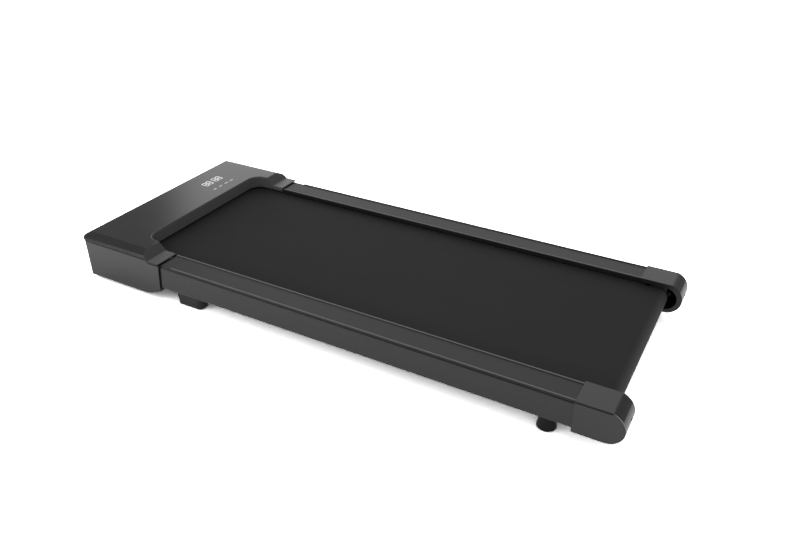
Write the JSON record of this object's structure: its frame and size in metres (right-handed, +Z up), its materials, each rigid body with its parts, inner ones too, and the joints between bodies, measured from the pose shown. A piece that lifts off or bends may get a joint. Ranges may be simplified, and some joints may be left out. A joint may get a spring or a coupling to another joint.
{
  "type": "walking pad",
  "caption": "Flat under-desk walking pad: a low motor head with a small lit display, an endless belt on a deck between foot rails, rounded rear end caps and rubber feet.",
  "frame": {"origin": "on the floor under the middle of the machine's box", "axes": "+X from the motor head to the rear end, +Y to the walker's right, +Z up"},
  "size_m": [1.246, 0.509, 0.118],
  "materials": {
    "hood_plastic": "fine satin texture, dark grey",
    "tray_plastic": "satin, dark grey",
    "rail_paint": "satin powder coat, dark grey",
    "strip_plastic": "fine grain, dark grey",
    "cap_plastic": "fine grain, dark grey",
    "seal_rubber": "matte black",
    "belt_rubber": "fine woven texture, black",
    "foot_rubber": "moulded, black",
    "deck_wood": "dark faced fibreboard",
    "frame_steel": "black powder coat",
    "bright_steel": "turned steel",
    "zinc_steel": "zinc plated",
    "motor_paint": "black enamel",
    "cast_alloy": "die cast",
    "fan_plastic": "moulded, black",
    "drive_rubber": "moulded, black",
    "board": "lacquered, green",
    "capacitor_sleeve": "sleeved, dark blue",
    "display": "milky face",
    "panel_plastic": "moulded, black",
    "rocker_plastic": "polished, red",
    "button_plastic": "polished, black",
    "wheel_plastic": "moulded, dark grey"
  },
  "bodies": {
    "frame": {"breaker_body": "panel_plastic", "cap_screws": "zinc_steel", "controller_board": "board", "controller_capacitors": "capacitor_sleeve", "controller_standoffs": "zinc_steel", "cross_member_1": "frame_steel", "cross_member_2": "frame_steel", "cross_member_3": "frame_steel", "deck_board": "deck_wood", "deck_cushions": "foot_rubber", "deck_screws": "zinc_steel", "digit_module": "display", "display_board": "board", "drive_belt": "drive_rubber", "foot_bolts": "zinc_steel", "front_shaft": "bright_steel", "heat_sink": "cast_alloy", "hood_cover": "hood_plastic", "hood_screws": "zinc_steel", "left_end_cap": "cap_plastic", "left_foot_strip": "strip_plastic", "left_front_foot": "foot_rubber", "left_rail_seal": "seal_rubber", "left_rear_foot": "foot_rubber", "left_side_plate": "frame_steel", "left_side_rail": "rail_paint", "left_tension_bracket": "frame_steel", "motor_base": "frame_steel", "motor_bay_tray": "tray_plastic", "motor_bells": "cast_alloy", "motor_bolts": "zinc_steel", "motor_can": "motor_paint", "motor_cradle": "frame_steel", "power_inlet": "panel_plastic", "rear_shaft": "bright_steel", "right_end_cap": "cap_plastic", "right_foot_strip": "strip_plastic", "right_front_foot": "foot_rubber", "right_rail_seal": "seal_rubber", "right_rear_foot": "foot_rubber", "right_side_plate": "frame_steel", "right_side_rail": "rail_paint", "right_tension_bracket": "frame_steel", "switch_body": "panel_plastic", "walking_belt": "belt_rubber", "wheel_axles": "bright_steel"},
    "front_roller_set": {"front_roller": "bright_steel", "front_bearings": "bright_steel", "driven_pulley": "cast_alloy"},
    "rear_roller_set": {"rear_roller": "bright_steel", "rear_bearings": "bright_steel"},
    "motor_rotor": {"motor_armature": "bright_steel", "motor_pulley": "cast_alloy", "motor_fan": "fan_plastic"},
    "left_tension_screw": {"left_tension_bolt": "zinc_steel"},
    "right_tension_screw": {"right_tension_bolt": "zinc_steel"},
    "power_rocker": {"switch_rocker": "rocker_plastic"},
    "reset_button": {"breaker_button": "button_plastic"},
    "left_wheel": {"left_transport_wheel": "wheel_plastic"},
    "right_wheel": {"right_transport_wheel": "wheel_plastic"}
  },
  "joints": [
    {"name": "front_roller_spin", "type": "hinge", "parent": "frame", "child": "front_roller_set", "pos_m": [-0.502, 0, 0.066], "axis": [0, 1, 0], "continuous": true},
    {"name": "rear_roller_spin", "type": "hinge", "parent": "frame", "child": "rear_roller_set", "pos_m": [0.574, 0, 0.066], "axis": [0, 1, 0], "continuous": true},
    {"name": "motor_spin", "type": "hinge", "parent": "frame", "child": "motor_rotor", "pos_m": [-0.566, 0, 0.0635], "axis": [0, 1, 0], "continuous": true},
    {"name": "left_tension_turn", "type": "hinge", "parent": "frame", "child": "left_tension_screw", "pos_m": [0.588, -0.217, 0.066], "axis": [1, 0, 0], "continuous": true},
    {"name": "right_tension_turn", "type": "hinge", "parent": "frame", "child": "right_tension_screw", "pos_m": [0.588, 0.217, 0.066], "axis": [1, 0, 0], "continuous": true},
    {"name": "power_switch_tilt", "type": "hinge", "parent": "frame", "child": "power_rocker", "pos_m": [-0.6174, 0.158, 0.06], "axis": [0, 1, 0], "range_deg": [0, 16]},
    {"name": "reset_button_press", "type": "slide", "parent": "frame", "child": "reset_button", "axis": [1, 0, 0], "range_m": [0, 0.0025], "stiffness_N_per_m": 400},
    {"name": "left_wheel_spin", "type": "hinge", "parent": "frame", "child": "left_wheel", "pos_m": [-0.5998, -0.208, 0.019], "axis": [0, 1, 0], "continuous": true},
    {"name": "right_wheel_spin", "type": "hinge", "parent": "frame", "child": "right_wheel", "pos_m": [-0.5998, 0.208, 0.019], "axis": [0, 1, 0], "continuous": true}
  ],
  "couplings": [
    {"joint": "rear_roller_spin", "follows": "front_roller_spin", "ratio": 1},
    {"joint": "motor_spin", "follows": "front_roller_spin", "ratio": 2.9091}
  ]
}
